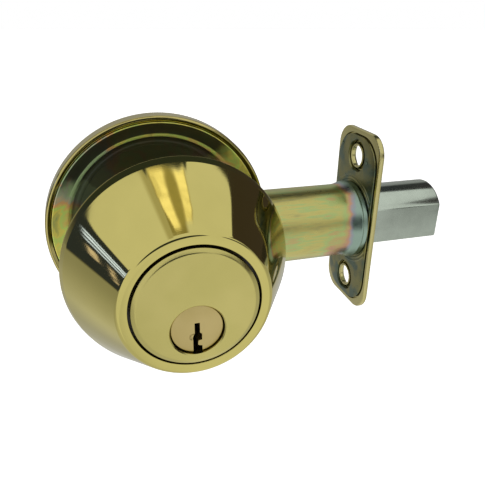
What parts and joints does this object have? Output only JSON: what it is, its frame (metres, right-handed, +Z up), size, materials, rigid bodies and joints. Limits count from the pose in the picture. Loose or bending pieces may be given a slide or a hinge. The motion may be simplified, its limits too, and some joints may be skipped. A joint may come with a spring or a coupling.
{
  "type": "deadbolt door lock",
  "caption": "Single-cylinder deadbolt: tapered keyed housing outside, thumb turn inside, tubular latch with faceplate and a thrown bolt.",
  "frame": {"origin": "centre of the door's cross bore, on the exterior housing's centre line, half way through the latch tube", "axes": "+X along the bolt towards the door's edge, +Y from the outside of the door to the inside, +Z up"},
  "size_m": [0.1209, 0.0844, 0.0696],
  "materials": {
    "polished_brass": "polished, lacquered",
    "satin_brass": "satin",
    "yellow_zinc": "yellow passivated zinc plate, iridescent",
    "steel": "satin",
    "hard_steel": "ground",
    "spring_steel": "bright"
  },
  "bodies": {
    "lock_case": {"exterior_housing": "polished_brass", "housing_backing_ring": "hard_steel", "cylinder_body": "satin_brass", "chamber_cap": "satin_brass", "driver_pin_1": "steel", "pin_spring_1": "spring_steel", "driver_pin_2": "steel", "pin_spring_2": "spring_steel", "driver_pin_3": "steel", "pin_spring_3": "spring_steel", "driver_pin_4": "steel", "pin_spring_4": "spring_steel", "driver_pin_5": "steel", "pin_spring_5": "spring_steel", "spring_washer": "spring_steel", "interior_rose": "polished_brass", "mounting_plate": "yellow_zinc", "mounting_screw_left": "steel", "mounting_screw_right": "steel", "latch_tube": "yellow_zinc", "latch_backplate": "yellow_zinc", "latch_faceplate": "polished_brass"},
    "key_plug": {"plug": "satin_brass", "plug_retainer_clip": "spring_steel", "bottom_pin_1": "satin_brass", "bottom_pin_2": "satin_brass", "bottom_pin_3": "satin_brass", "bottom_pin_4": "satin_brass", "bottom_pin_5": "satin_brass"},
    "turn_drive": {"thumb_turn": "polished_brass", "thumb_turn_clip": "spring_steel", "tailpiece": "steel", "latch_cam": "yellow_zinc"},
    "bolt_assembly": {"bolt": "steel", "bolt_roller_pin": "hard_steel", "bolt_tail": "yellow_zinc", "bolt_tail_pin": "steel"}
  },
  "joints": [
    {"name": "key_turn", "type": "hinge", "parent": "lock_case", "child": "key_plug", "pos_m": [0, -0.0384, -0.006], "axis": [0, 1, 0], "range_deg": [-90, 90]},
    {"name": "thumb_turn_spin", "type": "hinge", "parent": "lock_case", "child": "turn_drive", "pos_m": [0, 0.0254, -0.006], "axis": [0, -1, 0], "range_deg": [0, 90]},
    {"name": "bolt_slide", "type": "slide", "parent": "lock_case", "child": "bolt_assembly", "axis": [-1, 0, 0], "range_m": [0, 0.0254]}
  ],
  "couplings": [
    {"joint": "thumb_turn_spin", "follows": "bolt_slide", "rad_per_m": 61.84}
  ]
}
